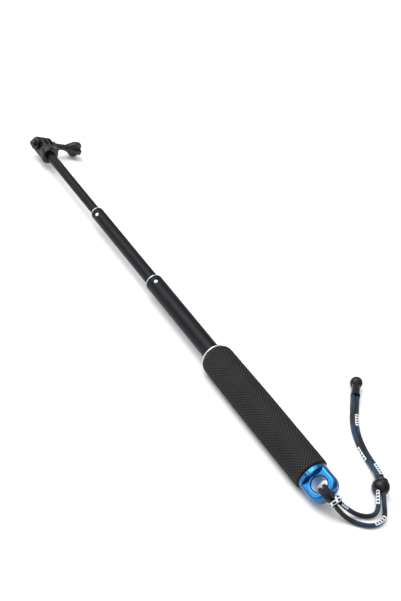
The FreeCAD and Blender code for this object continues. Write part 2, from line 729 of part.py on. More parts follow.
HITCH_HEADING = (-0.92, -0.28, -0.28)


cap_tip = FreeCAD.Vector((pole_x - cap_length).number, pole_y.number, 0)


def from_tip(place_from_tip):
    return cap_tip + FreeCAD.Vector(*place_from_tip)


def plain_feature(label, shape, placement=FreeCAD.Placement()):
    feature = doc.addObject("Part::Feature", label)
    feature.Label = label
    feature.Shape = shape
    feature.Placement = placement
    nodes.append(feature)


def rounded_route(points, label):
    """A wire of straight runs joined by tangent arcs, one arc at each inner point."""
    edges = []
    start = points[0]
    radii = []
    for before, here, after in zip(points, points[1:], points[2:]):
        arriving = (here - before).normalize()
        leaving = (after - here).normalize()
        turn = arriving.getAngle(leaving)
        setback = 0.45 * min((here - before).Length, (after - here).Length)
        radii.append(setback / math.tan(turn / 2))
        arc_start = here - arriving * setback
        arc_end = here + leaving * setback
        inward = (leaving - arriving).normalize()
        centre = here + inward * (radii[-1] / math.cos(turn / 2))
        middle = centre - inward * radii[-1]
        edges.append(Part.LineSegment(start, arc_start).toShape())
        edges.append(Part.Arc(arc_start, middle, arc_end).toShape())
        start = arc_end
    edges.append(Part.LineSegment(start, points[-1]).toShape())
    wire = Part.Wire(edges)
    print(label, "length", round(wire.Length, 1), "radii", [round(r, 1) for r in radii])
    return wire


def swept_cord(label, points):
    radius = size("cord_diameter").number / 2
    wire = rounded_route(points, label)
    ring = Part.Wire([Part.Circle(points[0], points[1] - points[0], radius).toShape()])
    tube = wire.makePipeShell([ring], True, True)
    expected = math.pi * radius ** 2 * wire.Length
    print(label, "volume over section times length", round(tube.Volume / expected, 4))
    plain_feature(label, tube)


def build_anchor_loop(label, sideways):
    """One leg of the cord through the eye and round the end of the bail."""
    stand_off = size("cord_diameter").number / 2 + size("anchor_gap").number
    in_eye = size("eye_diameter").number / 2 - stand_off
    inside = -eye_offset.number - math.sqrt(in_eye ** 2 - sideways ** 2)
    outside = -cap_length.number - stand_off
    side = size("cap_bail").number / 2 + stand_off
    limb = [(outside, stand_off), (outside, side), (inside, side)]
    angle = math.radians(size("cap_roll").number)
    through_eye = FreeCAD.Vector(0, math.cos(angle), math.sin(angle))
    across = X_AXIS.cross(through_eye) * sideways
    middle = FreeCAD.Vector(pole_x.number, pole_y.number, pole_z.number) + across
    points = [middle + X_AXIS * along + through_eye * out for along, out in limb]
    points += [middle + X_AXIS * along - through_eye * out for along, out in reversed(limb)]
    swept_cord(label, points)


def revolved_feature(label, corners, base, heading):
    """A turned solid from (along, radius) corners, with its axis from base along heading."""
    wire = Part.makePolygon([FreeCAD.Vector(r, 0, z) for z, r in corners + corners[:1]])
    solid = Part.Face(wire).revolve(FreeCAD.Vector(0, 0, 0), FreeCAD.Vector(0, 0, 1), 360)
    turn = FreeCAD.Rotation(FreeCAD.Vector(0, 0, 1), FreeCAD.Vector(*heading))
    plain_feature(label, solid, FreeCAD.Placement(base, turn))


def build_hitch():
    """The knot where the two legs round the bail become the two strands."""
    length = size("hitch_length").number
    radius = size("hitch_radius").number
    taper = size("hitch_taper").number
    corners = [(0.0, 0.0), (0.0, radius - taper), (taper, radius), (length - taper, radius),
               (length, radius - taper), (length, 0.0)]
    revolved_feature("cord_hitch", corners, from_tip(HITCH_START), HITCH_HEADING)


def build_cord_lock():
    """A ball with two bores for the cord, a seam, and a bore from above for its button."""
    radius = size("lock_ball_diameter").number / 2
    half_height = size("lock_ball_height").number / 2
    heading = FreeCAD.Vector(*LOCK_HEADING).normalize()
    button = size("plunger_diameter").number / 2
    slab = Part.makeBox(radius * 4, radius * 4, half_height * 2)
    slab.translate(FreeCAD.Vector(-radius * 2, -radius * 2, -half_height))
    ball = Part.makeSphere(radius).common(slab)
    bore = size("cord_diameter").number / 2 + size("cord_fit").number
    side = FreeCAD.Vector(0, 0, 1).cross(heading) * (size("cord_spacing").number / 2)
    for sign in (-1, 1):
        start = side * sign - heading * radius * 2
        ball = ball.cut(Part.makeCylinder(bore, radius * 4, start, heading))
    seam = size("lock_seam").number
    seam_start = heading * (-seam / 2)
    seam_ring = Part.makeCylinder(radius * 2, seam, seam_start, heading)
    seam_floor = Part.makeCylinder(radius - size("lock_seam_depth").number, seam, seam_start,
                                   heading)
    ball = ball.cut(seam_ring.cut(seam_floor))
    floor = bore + size("edge_break").number
    button_bore = button + size("slide_fit").number
    ball = ball.cut(Part.makeCylinder(button_bore, radius * 2, FreeCAD.Vector(0, 0, floor)))
    plain_feature("cord_lock_body", ball,
                  FreeCAD.Placement(from_tip(LOCK_CENTRE), FreeCAD.Rotation()))
    foot_of_button = floor + size("seat_gap").number
    top = half_height + size("plunger_reach").number
    bevel = size("edge_break").number
    corners = [(foot_of_button, 0.0), (foot_of_button, button), (top - bevel, button),
               (top, button - bevel), (top, 0.0)]
    revolved_feature("cord_lock_button", corners, from_tip(LOCK_CENTRE), (0.0, 0.0, 1.0))


def build_toggle():
    """A bell-shaped end: a mouth for both strands, a waist and a ball."""
    ball = size("toggle_diameter").number / 2
    skirt = size("toggle_mouth").number / 2
    skirt_length = size("toggle_skirt").number
    waist = size("toggle_waist").number / 2
    length = size("toggle_length").number
    bevel = size("edge_break").number
    centre = length - ball
    corners = [(0.0, 0.0), (0.0, skirt - bevel), (bevel, skirt), (skirt_length, skirt),
               (skirt_length + bevel, waist)]
    steps = 12
    widest = math.pi - math.asin(waist / ball)
    for step in range(steps):
        angle = widest * (1 - step / steps)
        corners.append((centre + ball * math.cos(angle), ball * math.sin(angle)))
    corners.append((length, 0.0))
    revolved_feature("cord_toggle", corners, from_tip(TOGGLE_START), TOGGLE_HEADING)


# ---------------------------------------------------------------- the whole object
build_handle_tube()
build_grip()
build_grip_ring()
build_guide_bush("handle_guide_bush", mouth["handle"], handle_bore, tube_radius["lower"],
                 size("ring_skirt") + size("seat_gap"))
build_end_cap()
build_cap_seal()
build_sleeve("lower", "middle", size("lower_rivet_angle"))
build_sleeve("middle", "upper", size("middle_rivet_angle"))
build_upper_tube()
for tube_name in ("lower", "middle", "upper"):
    build_twist_lock(tube_name)
build_head_insert()
build_camera_mount()
build_cap_nut()
build_screw_stud()
build_knob()
half_pitch = size("anchor_pitch").number / 2
build_anchor_loop("cord_anchor_upper", half_pitch)
build_anchor_loop("cord_anchor_lower", -half_pitch)
build_hitch()
swept_cord("cord_strand_inner", [from_tip(spot) for spot in CORD_INNER])
swept_cord("cord_strand_outer", [from_tip(spot) for spot in CORD_OUTER])
build_cord_lock()
build_toggle()

doc.recompute()
for item in doc.Objects:
    if "Invalid" in item.State or "Error" in item.State:
        raise RuntimeError(f"{item.Name} failed: {item.State}")
for node in nodes:
    if node.Shape.isNull() or not node.Shape.isValid() or not node.Shape.Solids:
        raise RuntimeError(f"{node.Label} has no valid solid")

os.makedirs("parts", exist_ok=True)
for node in nodes:
    node.Shape.exportStep(os.path.join("parts", node.Label + ".step"))
print(len(nodes), "parts written")
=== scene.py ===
import math

import bpy
from mathutils import Matrix, Vector


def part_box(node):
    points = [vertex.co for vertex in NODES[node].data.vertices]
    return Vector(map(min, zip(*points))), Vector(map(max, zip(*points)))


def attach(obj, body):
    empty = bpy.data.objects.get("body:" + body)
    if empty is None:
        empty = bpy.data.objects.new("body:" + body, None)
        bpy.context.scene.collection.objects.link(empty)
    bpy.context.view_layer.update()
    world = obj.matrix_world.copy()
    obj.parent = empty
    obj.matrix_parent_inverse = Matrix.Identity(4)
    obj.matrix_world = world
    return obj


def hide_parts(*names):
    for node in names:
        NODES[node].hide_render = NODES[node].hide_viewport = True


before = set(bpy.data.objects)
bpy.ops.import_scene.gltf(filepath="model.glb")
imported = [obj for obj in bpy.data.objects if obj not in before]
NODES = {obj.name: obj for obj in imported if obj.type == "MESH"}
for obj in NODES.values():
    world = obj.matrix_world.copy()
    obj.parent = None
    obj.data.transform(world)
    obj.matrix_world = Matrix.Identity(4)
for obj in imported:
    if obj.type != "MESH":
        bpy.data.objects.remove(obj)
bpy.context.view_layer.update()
MM = 0.001

# ------------------------------------------------------------------ where the pole is
CAP_LOW, CAP_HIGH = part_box("end_cap")
GRIP_LOW, GRIP_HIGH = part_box("rubber_grip")
GRIP_RADIUS = (GRIP_HIGH.z - GRIP_LOW.z) / 2
AXIS_Y = (GRIP_LOW.y + GRIP_HIGH.y) / 2
AXIS_Z = (GRIP_LOW.z + GRIP_HIGH.z) / 2
GRIP_START = GRIP_LOW.x
GRIP_END = GRIP_HIGH.x

# ------------------------------------------------------------------ wrist cord routes (mm)
# Each point is how far it is from the cap's tip along X and along Y, and above the surface.
CAP_TIP = Vector((CAP_LOW.x, AXIS_Y, 0))
CORD_RADIUS = 2.1 * MM
CORD_STEP = 0.45 * MM
YARNS = 8
YARN_PITCH = 90.0              # turns of a yarn round the cord in a metre
WEAVE_DEPTH = 0.035            # share of the radius
STRAND_INNER = [
    (-7.4, -5.5, 15.8), (-8.9, -12.5, 10.8), (-11.4, -19.5, 6.4), (-14.4, -26.5, 3.4),
    (-17.8, -34.3, 2.4), (-19.4, -42.5, 2.9), (-16.6, -49.5, 4.6), (-5.9, -58.1, 7.3),
    (15.3, -76.3, 7.3), (28.1, -83.0, 3.6), (43.1, -86.0, 2.4), (59.1, -91.5, 2.4),
    (75.4, -100.0, 2.4), (93.4, -114.3, 2.7), (110.3, -129.6, 4.9)]
STRAND_OUTER = [
    (-7.6, -0.7, 13.4), (-10.4, -6.1, 8.6), (-14.6, -12.1, 4.5), (-19.9, -18.1, 2.6),
    (-24.9, -24.9, 2.4), (-28.1, -32.9, 2.4), (-28.4, -42.5, 2.5), (-24.6, -51.8, 3.8),
    (-9.1, -61.7, 7.3), (12.2, -79.9, 7.3), (26.4, -87.3, 3.6), (42.1, -90.6, 2.4),
    (58.1, -96.0, 2.4), (73.4, -104.0, 2.4), (91.1, -118.5, 2.7), (107.3, -133.0, 4.9)]
HITCH_START = (-2.4, -0.4, 17.0)
HITCH_HEADING = Vector((-0.92, -0.28, -0.28)).normalized()

# The two legs through the eye, in the cap's own directions: along the pole from the cap's
# tip, through the eye, and sideways across it.
CAP_ROLL = math.radians(38)
THROUGH_EYE = Vector((0, math.cos(CAP_ROLL), math.sin(CAP_ROLL)))
LEG = [(-2.6, 2.6), (-2.6, 10.1), (8.65, 10.1), (8.65, -10.1), (-2.6, -10.1), (-2.6, -2.6)]
LEG_SIDEWAYS = 2.3


def from_tip(spot):
    return CAP_TIP + Vector(spot) * MM


def leg_route(sideways):
    across = Vector((1, 0, 0)).cross(THROUGH_EYE) * sideways * MM
    start = Vector((CAP_LOW.x, AXIS_Y, AXIS_Z)) + across
    return [start + Vector((along * MM, 0, 0)) + THROUGH_EYE * (out * MM) for along, out in LEG]


# ------------------------------------------------------------------ camera and light
CAMERA_PLACE = (-0.6647, 0.7052, 0.6165)
CAMERA_HEADING = Vector((0.5698, -0.6321, -0.5252))
CAMERA_ROLL = math.radians(24.5)
CAMERA_LENS = 71.9


def place_camera():
    """A long lens, looking down the pole from above its cap end, turned a little on its side."""
    data = bpy.data.cameras.new("view_camera")
    data.sensor_width = 36
    data.lens = CAMERA_LENS
    data.clip_end = 20
    camera = bpy.data.objects.new("view_camera", data)
    turn = CAMERA_HEADING.to_track_quat("-Z", "Y").to_matrix()
    turn = turn @ Matrix.Rotation(CAMERA_ROLL, 3, "Z")
    camera.matrix_world = Matrix.Translation(CAMERA_PLACE) @ turn.to_4x4()
    bpy.context.scene.collection.objects.link(camera)
    bpy.context.scene.camera = camera


def area_light(name, place, target, size, power):
    """A rectangular lamp at a place, aimed at a target."""
    data = bpy.data.lights.new(name, "AREA")
    data.shape = "RECTANGLE"
    data.size, data.size_y = size
    data.energy = power
    lamp = bpy.data.objects.new(name, data)
    aim = (Vector(target) - Vector(place)).to_track_quat("-Z", "Y")
    lamp.matrix_world = Matrix.Translation(place) @ aim.to_matrix().to_4x4()
    bpy.context.scene.collection.objects.link(lamp)


def sun_light(name, heading, power, spread):
    """Light from one direction everywhere, softened by the spread of its source."""
    data = bpy.data.lights.new(name, "SUN")
    data.energy = power
    data.angle = spread
    sun = bpy.data.objects.new(name, data)
    sun.matrix_world = Vector(heading).to_track_quat("-Z", "Y").to_matrix().to_4x4()
    bpy.context.scene.collection.objects.link(sun)


def light_studio():
    """A pale room that is brighter on one side, and soft lamps over the object."""
    world = bpy.data.worlds.new("studio")
    world.use_nodes = True
    recipe = Recipe(world.node_tree)
    heading = recipe.add("ShaderNodeTexCoord").outputs["Generated"]
    towards = recipe.add("ShaderNodeVectorMath", operation="DOT_PRODUCT")
    recipe.feed(towards.inputs[0], heading)
    towards.inputs[1].default_value = (0.42, 0.30, 0.86)
    glow = recipe.between(towards.outputs["Value"], -0.1, 0.95, 0.30, 0.72)
    background = world.node_tree.nodes["Background"]
    recipe.feed(background.inputs["Strength"], glow)
    background.inputs["Color"].default_value = (1, 1, 1, 1)
    bpy.context.scene.world = world
    area_light("key", (0.7, 0.9, 1.6), (0, 0, 0), (1.1, 1.1), 14)
    area_light("fill", (-1.5, 0.6, 1.3), (0, 0, 0), (1.3, 1.3), 4)
    area_light("far_fill", (-0.2, -1.6, 1.5), (0, -0.1, 0), (1.2, 1.2), 4)
    area_light("streak", (0.35, 0.75, 0.35), (0, 0, 0.01), (1.2, 0.12), 2)
    sun_light("overhead", (-0.3, -0.35, -0.88), 1.9, math.radians(70))
    bpy.context.scene.view_settings.view_transform = "Standard"


def lay_floor():
    """A plain floor that reaches well past the object on every side."""
    mesh = bpy.data.meshes.new("floor")
    reach = 6.0
    mesh.from_pydata([(-reach, -reach, 0), (reach, -reach, 0), (reach, reach, 0),
                      (-reach, reach, 0)], [], [(0, 1, 2, 3)])
    floor = bpy.data.objects.new("floor", mesh)
    bpy.context.scene.collection.objects.link(floor)
    mesh.materials.append(floor_material())


# ------------------------------------------------------------------ shader building blocks
class Recipe:
    """A material or a group being put together, with short calls to add and join nodes."""

    def __init__(self, tree):
        self.tree = tree

    def add(self, kind, **settings):
        node = self.tree.nodes.new(kind)
        for key, value in settings.items():
            setattr(node, key, value)
        return node

    def feed(self, target, source):
        """Join an output to an input, or set the input to a plain value."""
        if isinstance(source, bpy.types.NodeSocket):
            self.tree.links.new(source, target)
        else:
            target.default_value = source

    def maths(self, operation, first, second=0.0):
        node = self.add("ShaderNodeMath", operation=operation)
        for socket, value in zip(node.inputs, (first, second)):
            self.feed(socket, value)
        return node.outputs[0]

    def noise(self, vector, scale, detail=3.0, roughness=0.5):
        node = self.add("ShaderNodeTexNoise")
        self.feed(node.inputs["Vector"], vector)
        node.inputs["Scale"].default_value = scale
        node.inputs["Detail"].default_value = detail
        node.inputs["Roughness"].default_value = roughness
        return node.outputs["Fac"]

    def stretch(self, vector, scale):
        node = self.add("ShaderNodeMapping")
        self.feed(node.inputs["Vector"], vector)
        node.inputs["Scale"].default_value = scale
        return node.outputs["Vector"]

    def between(self, value, low, high, to_low=0.0, to_high=1.0):
        node = self.add("ShaderNodeMapRange")
        self.feed(node.inputs["Value"], value)
        for name, number in (("From Min", low), ("From Max", high),
                             ("To Min", to_low), ("To Max", to_high)):
            self.feed(node.inputs[name], number)
        return node.outputs["Result"]

    def blend_colour(self, amount, first, second):
        node = self.add("ShaderNodeMix", data_type="RGBA")
        self.feed(node.inputs["Factor"], amount)
        self.feed(node.inputs["A"], first)
        self.feed(node.inputs["B"], second)
        return node.outputs["Result"]

    def bump(self, height, strength, distance):
        node = self.add("ShaderNodeBump")
        self.feed(node.inputs["Height"], height)
        node.inputs["Strength"].default_value = strength
        node.inputs["Distance"].default_value = distance
        return node.outputs["Normal"]

    def place(self):
        return self.add("ShaderNodeTexCoord").outputs["Object"]


def grey(value):
    return (value, value, value, 1)


def surface_group(name, inputs, outputs, build):
    """A node group: inputs are (name, socket kind, default) rows, outputs names of numbers."""
    if name in bpy.data.node_groups:
        return bpy.data.node_groups[name]
    tree = bpy.data.node_groups.new(name, "ShaderNodeTree")
    for label, kind, default in inputs:
        socket = tree.interface.new_socket(label, in_out="INPUT", socket_type=kind)
        if default is not None:
            socket.default_value = default
    for label in outputs:
        tree.interface.new_socket(label, in_out="OUTPUT", socket_type="NodeSocketFloat")
    recipe = Recipe(tree)
    start = recipe.add("NodeGroupInput")
    finish = recipe.add("NodeGroupOutput")
    build(recipe, start.outputs, finish.inputs)
    return tree


def fine_grain():
    """Small even grain, as on moulded plastic, with a slow change of tone."""
    def build(recipe, given, result):
        place = given["Place"]
        scale = recipe.add("ShaderNodeVectorMath", operation="SCALE")
        recipe.feed(scale.inputs[0], place)
        recipe.feed(scale.inputs["Scale"], given["Fineness"])
        grain = recipe.noise(scale.outputs[0], 1.0, 4.0, 0.6)
        slow = recipe.noise(place, 45.0, 2.0)
        recipe.feed(result["Grain"], grain)
        recipe.feed(result["Tone"], slow)
    return surface_group(
        "fine_grain",
        [("Place", "NodeSocketVector", None), ("Fineness", "NodeSocketFloat", 1500.0)],
        ["Grain", "Tone"], build)


def turning_marks():
    """Fine rings left by a lathe round the pole's axis, and small handling scratches."""
    def build(recipe, given, result):
        place = given["Place"]
        rings = recipe.noise(recipe.stretch(place, (6000, 60, 60)), 1.0, 2.0)
        lines = recipe.noise(recipe.stretch(place, (18, 900, 900)), 1.0, 3.0)
        marks = recipe.between(lines, 0.66, 0.74)
        recipe.feed(result["Rings"], rings)
        recipe.feed(result["Scratches"], marks)
    return surface_group(
        "turning_marks", [("Place", "NodeSocketVector", None)],
        ["Rings", "Scratches"], build)


def new_material(name):
    material = bpy.data.materials.new(name)
    material.use_nodes = True
    recipe = Recipe(material.node_tree)
    shader = material.node_tree.nodes["Principled BSDF"].inputs
    return material, recipe, shader


def use_group(recipe, tree, **values):
    node = recipe.add("ShaderNodeGroup")
    node.node_tree = tree
    for label, value in values.items():
        recipe.feed(node.inputs[label], value)
    return node.outputs


# ------------------------------------------------------------------ materials
def floor_material():
    material, recipe, shader = new_material("pale_floor")
    tone = recipe.noise(recipe.place(), 3.0, 2.0)
    recipe.feed(shader["Base Color"],
                recipe.blend_colour(tone, grey(0.94), grey(0.96)))
    shader["Roughness"].default_value = 0.85
    return material


def anodised_metal(name, deep, lit, metallic, roughness, specular, gloss):
    """Dyed anodised aluminium: turned rings under a thin clear skin, and a few rub marks."""
    material, recipe, shader = new_material(name)
    place = recipe.place()
    marks = use_group(recipe, turning_marks(), Place=place)
    grain = use_group(recipe, fine_grain(), Place=place, Fineness=2600.0)
    colour = recipe.blend_colour(grain["Tone"], deep, lit)
    worn = recipe.maths("MULTIPLY", marks["Scratches"], 0.1)
    recipe.feed(shader["Base Color"], recipe.blend_colour(worn, colour, grey(0.3)))
    shader["Metallic"].default_value = metallic
    recipe.feed(shader["Roughness"],
                recipe.between(marks["Rings"], 0.3, 0.7, roughness - 0.05, roughness + 0.06))
    shader["Specular IOR Level"].default_value = specular
    shader["Coat Weight"].default_value = gloss
    shader["Coat Roughness"].default_value = 0.12
    height = recipe.maths("ADD", recipe.maths("MULTIPLY", marks["Rings"], 0.6),
                          recipe.maths("MULTIPLY", grain["Grain"], 0.4))
    recipe.feed(shader["Normal"], recipe.bump(height, 0.12, 0.00004))
    return material


def bright_metal(name, colour, roughness):
    material, recipe, shader = new_material(name)
    place = recipe.place()
    marks = use_group(recipe, turning_marks(), Place=place)
    tone = recipe.blend_colour(marks["Rings"], colour, grey(0.86))
    recipe.feed(shader["Base Color"], tone)
    shader["Metallic"].default_value = 1.0
    recipe.feed(shader["Roughness"],
                recipe.between(marks["Rings"], 0.3, 0.7, roughness, roughness + 0.12))
    recipe.feed(shader["Normal"], recipe.bump(marks["Rings"], 0.1, 0.00003))
    return material


def moulded_plastic(name, colour, light, roughness, fineness, depth, specular=0.35):
    material, recipe, shader = new_material(name)
    grain = use_group(recipe, fine_grain(), Place=recipe.place(), Fineness=fineness)
    recipe.feed(shader["Base Color"], recipe.blend_colour(grain["Tone"], colour, light))
    recipe.feed(shader["Roughness"],
                recipe.between(grain["Grain"], 0.3, 0.7, roughness - 0.06, roughness + 0.08))
    shader["Specular IOR Level"].default_value = specular
    recipe.feed(shader["Normal"], recipe.bump(grain["Grain"], 0.3, depth))
    return material


def grip_rubber():
    """Black rubber, with painted shade in the knurl's grooves and a painted highlight on its
    points.
    """
    material, recipe, shader = new_material("grip_rubber")
    place = recipe.place()
    grain = use_group(recipe, fine_grain(), Place=place, Fineness=2200.0)
    # The colour is a painted highlight on the diamonds' points, varied at random, and painted
    # shade in the grooves.
    crest = recipe.add("ShaderNodeAttribute", attribute_name="crest").outputs["Fac"]
    painted_crest_highlight = recipe.maths("MULTIPLY", crest, recipe.between(grain["Tone"], 0.3, 0.7, 0.55, 1.0))
    recipe.feed(shader["Base Color"],
                recipe.blend_colour(painted_crest_highlight, grey(0.001), (0.05, 0.05, 0.052, 1)))
    recipe.feed(shader["Roughness"], recipe.between(grain["Grain"], 0.3, 0.7, 0.6, 0.78))
    shader["Specular IOR Level"].default_value = 0.25
    recipe.feed(shader["Normal"], recipe.bump(grain["Grain"], 0.35, 0.00008))
    return material


BAND_LENGTH = 0.047            # m of cord from one coloured band to the next
MARK_LENGTH = 0.0159           # m
BAR_PITCH = 0.0036             # m
BAR_SHARE = 0.42               # of the pitch
MARK_HALF_WIDTH = 0.15         # share of a turn round the cord
MARK_EDGE = 0.085              # where a mark's side line starts
TWIST_CENTRE = 0.045           # m along the cord where a turning mark faces up
UPPER_FACE = 0.75              # share of a turn at the cord's upper side


def braid_pattern():
    """Crossing yarns, a slow band of coloured yarn, and short framed dashes on one face.

    Along is the distance down the cord in metres, and Around the share of a turn round it."""
    def build(recipe, given, result):
        along, around = given["Along"], given["Around"]
        lean = recipe.maths("MULTIPLY", along, YARN_PITCH)
        turns = YARNS * 2 * math.pi
        first = recipe.maths("SINE", recipe.maths(
            "MULTIPLY", recipe.maths("ADD", around, lean), turns))
        second = recipe.maths("SINE", recipe.maths(
            "MULTIPLY", recipe.maths("SUBTRACT", around, lean), turns))
        weave = recipe.maths("MULTIPLY", first, second)
        band = recipe.maths("SINE", recipe.maths("MULTIPLY", along, 2 * math.pi / BAND_LENGTH))
        colour = recipe.maths("MULTIPLY", recipe.between(band, -0.5, 0.4),
                              recipe.between(weave, -0.35, 0.35))

        # Framed groups of short bars, evenly spaced, on one face that turns slowly.
        spot = recipe.maths("MULTIPLY", recipe.maths("FRACT", recipe.maths(
            "DIVIDE", along, given["Spacing"])), given["Spacing"])
        inside = recipe.maths("LESS_THAN", spot, MARK_LENGTH)
        turned = recipe.maths("MULTIPLY", recipe.maths("SUBTRACT", along, TWIST_CENTRE),
                              given["Twist"])
        face = recipe.maths("FRACT", recipe.maths("ADD", around, recipe.maths(
            "ADD", turned, UPPER_FACE)))
        off_middle = recipe.maths("ABSOLUTE", recipe.maths("SUBTRACT", face, 0.5))
        on_face = recipe.maths("LESS_THAN", off_middle, MARK_HALF_WIDTH)
        edge = recipe.maths("GREATER_THAN", off_middle, MARK_EDGE)
        bar_step = recipe.maths("FRACT", recipe.maths("DIVIDE", spot, BAR_PITCH))
        bar = recipe.maths("LESS_THAN", bar_step, BAR_SHARE)
        drawn = recipe.maths("MAXIMUM", edge, bar)
        mark = recipe.maths("MULTIPLY", recipe.maths("MULTIPLY", inside, on_face), drawn)
        recipe.feed(result["Weave"], weave)
        recipe.feed(result["Yarn"], colour)
        recipe.feed(result["Mark"], mark)
    return surface_group(
        "braid_pattern",
        [("Along", "NodeSocketFloat", 0.0), ("Around", "NodeSocketFloat", 0.0),
         ("Spacing", "NodeSocketFloat", 0.04), ("Twist", "NodeSocketFloat", 0.0)],
        ["Weave", "Yarn", "Mark"], build)


def braided_cord(name, spacing, twist):
    """Near-black braid with deep teal yarns and pale woven dashes."""
    material, recipe, shader = new_material(name)
    layout = recipe.add("ShaderNodeSeparateXYZ")
    recipe.feed(layout.inputs[0], recipe.add("ShaderNodeUVMap", uv_map="braid").outputs[0])
    braid = use_group(recipe, braid_pattern(), Along=layout.outputs["X"],
                      Around=layout.outputs["Y"], Spacing=spacing, Twist=twist)
    base = recipe.blend_colour(braid["Yarn"], (0.002, 0.002, 0.004, 1), (0.0, 0.045, 0.10, 1))
    recipe.feed(shader["Base Color"],
                recipe.blend_colour(braid["Mark"], base, (0.72, 0.78, 0.84, 1)))
    shader["Roughness"].default_value = 0.62
    shader["Specular IOR Level"].default_value = 0.3
    shader["Sheen Weight"].default_value = 0.12
    shader["Sheen Roughness"].default_value = 0.5
    fuzz = recipe.noise(recipe.place(), 4000.0, 2.0)
    height = recipe.maths("ADD", braid["Weave"], recipe.maths("MULTIPLY", fuzz, 0.5))
    recipe.feed(shader["Normal"], recipe.bump(height, 0.6, 0.0002))
    return material


# ------------------------------------------------------------------ mesh helpers
def new_piece(name, points, faces, material):
    """A smooth-shaded object made from points and faces, with one material."""
    mesh = bpy.data.meshes.new(name)
    mesh.from_pydata(points, [], faces)
    mesh.validate()
    mesh.polygons.foreach_set("use_smooth", [True] * len(mesh.polygons))
    mesh.materials.append(material)
    piece = bpy.data.objects.new(name, mesh)
    bpy.context.scene.collection.objects.link(piece)
    return piece


def route_curve(name, points):
    """A smooth open line with the route's points as its control points."""
    data = bpy.data.curves.new(name, "CURVE")
    data.dimensions = "3D"
    data.resolution_u = 40
    spline = data.splines.new("NURBS")
    spline.points.add(len(points) - 1)
    for control, point in zip(spline.points, points):
        control.co = (*point, 1)
    spline.order_u = 3
    spline.use_endpoint_u = True
    curve = bpy.data.objects.new(name, data)
    bpy.context.scene.collection.objects.link(curve)
    return curve


def even_line(curve, spacing):
    """Points along a curve's own smooth line, evenly spaced."""
    bpy.context.view_layer.update()
    mesh = bpy.data.meshes.new_from_object(curve)
    line = [Vector(v.co) for v in mesh.vertices]
    bpy.data.meshes.remove(mesh)
    reach = [0.0]
    for first, second in zip(line, line[1:]):
        reach.append(reach[-1] + (second - first).length)
    count = max(8, round(reach[-1] / spacing))
    spots, index = [], 0
    for step in range(count + 1):
        wanted = reach[-1] * step / count
        while index < len(reach) - 2 and reach[index + 1] < wanted:
            index += 1
        span = reach[index + 1] - reach[index]
        share = (wanted - reach[index]) / span if span else 0
        spots.append(line[index].lerp(line[index + 1], share))
    return spots, reach[-1]


def travelling_frames(spots):
    """A heading and two side directions at each point, turning as little as they can."""
    frames = []
    side = None
    for index, spot in enumerate(spots):
        after = spots[min(index + 1, len(spots) - 1)]
        before = spots[max(index - 1, 0)]
        heading = (after - before).normalized()
        if side is None:
            side = heading.cross(Vector((0, 0, 1))).normalized()
        side = (side - heading * side.dot(heading)).normalized()
        frames.append((heading, side, heading.cross(side)))
    return frames


def braided_tube(name, spots, radius, material, mark_from=0.0):
    """A capped tube along a line, raised a little where its yarns cross. Its marks are laid
    out as if it began mark_from metres down a longer cord."""
    around = 32
    frames = travelling_frames(spots)
    points, texture = [], []
    reach = 0.0
    for index, (spot, (heading, side, up)) in enumerate(zip(spots, frames)):
        if index:
            reach += (spot - spots[index - 1]).length
        for turn in range(around):
            share = turn / around
            weave = math.sin(2 * math.pi * YARNS * (share + YARN_PITCH * reach)) * math.sin(
                2 * math.pi * YARNS * (share - YARN_PITCH * reach))
            out = radius * (1 - WEAVE_DEPTH + WEAVE_DEPTH * weave)
            angle = 2 * math.pi * share
            points.append(spot + side * (math.cos(angle) * out) + up * (math.sin(angle) * out))
            texture.append((reach + mark_from, share))
    faces = []
    for ring in range(len(spots) - 1):
        for turn in range(around):
            after = (turn + 1) % around
            faces.append((ring * around + turn, ring * around + after,
                          (ring + 1) * around + after, (ring + 1) * around + turn))
    last = (len(spots) - 1) * around
    faces.append(tuple(reversed(range(around))))
    faces.append(tuple(range(last, last + around)))
    piece = new_piece(name, points, faces, material)
    layer = piece.data.uv_layers.new(name="braid")
    for face in piece.data.polygons:
        wraps = any(piece.data.loops[i].vertex_index % around == around - 1
                    for i in face.loop_indices) and len(face.loop_indices) == 4
        for index in face.loop_indices:
            vertex = piece.data.loops[index].vertex_index
            along, share = texture[vertex]
            if wraps and vertex % around == 0:
                share = 1.0
            layer.data[index].uv = (along, share)
    return piece


# ------------------------------------------------------------------ wrist cord
def make_strand(name, route, node, material, far_end, mark_from, **facts):
    curve = route_curve(name + "_line", route)
    spots, length = even_line(curve, CORD_STEP)
    bpy.data.objects.remove(curve)
    tube = braided_tube(name, spots, CORD_RADIUS, material, mark_from)
    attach(tube, "handle")
    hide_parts(node)
    return tube


def make_hitch(material):
    """Two turns of cord, pulled tight round the strands where they meet the bail."""
    start = from_tip(HITCH_START)
    side = HITCH_HEADING.cross(Vector((0, 0, 1))).normalized()
    up = side.cross(HITCH_HEADING)
    steps = 96
    turns = 1.8
    first_angle = 0.9
    wide, high = 4.0 * MM, 3.7 * MM
    inset, run = 1.2, 3.7
    spots = []
    for step in range(steps + 1):
        share = step / steps
        angle = 2 * math.pi * turns * share + first_angle
        slack = 1.0 + 0.05 * math.sin(3 * angle + 0.5)
        spots.append(start + HITCH_HEADING * ((inset + run * share) * MM)
                     + side * (math.cos(angle) * wide * slack)
                     + up * (math.sin(angle) * high * slack))
    hitch = braided_tube("hitch_turns", spots, CORD_RADIUS, material)
    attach(hitch, "handle")
    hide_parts("cord_hitch")
    return hitch


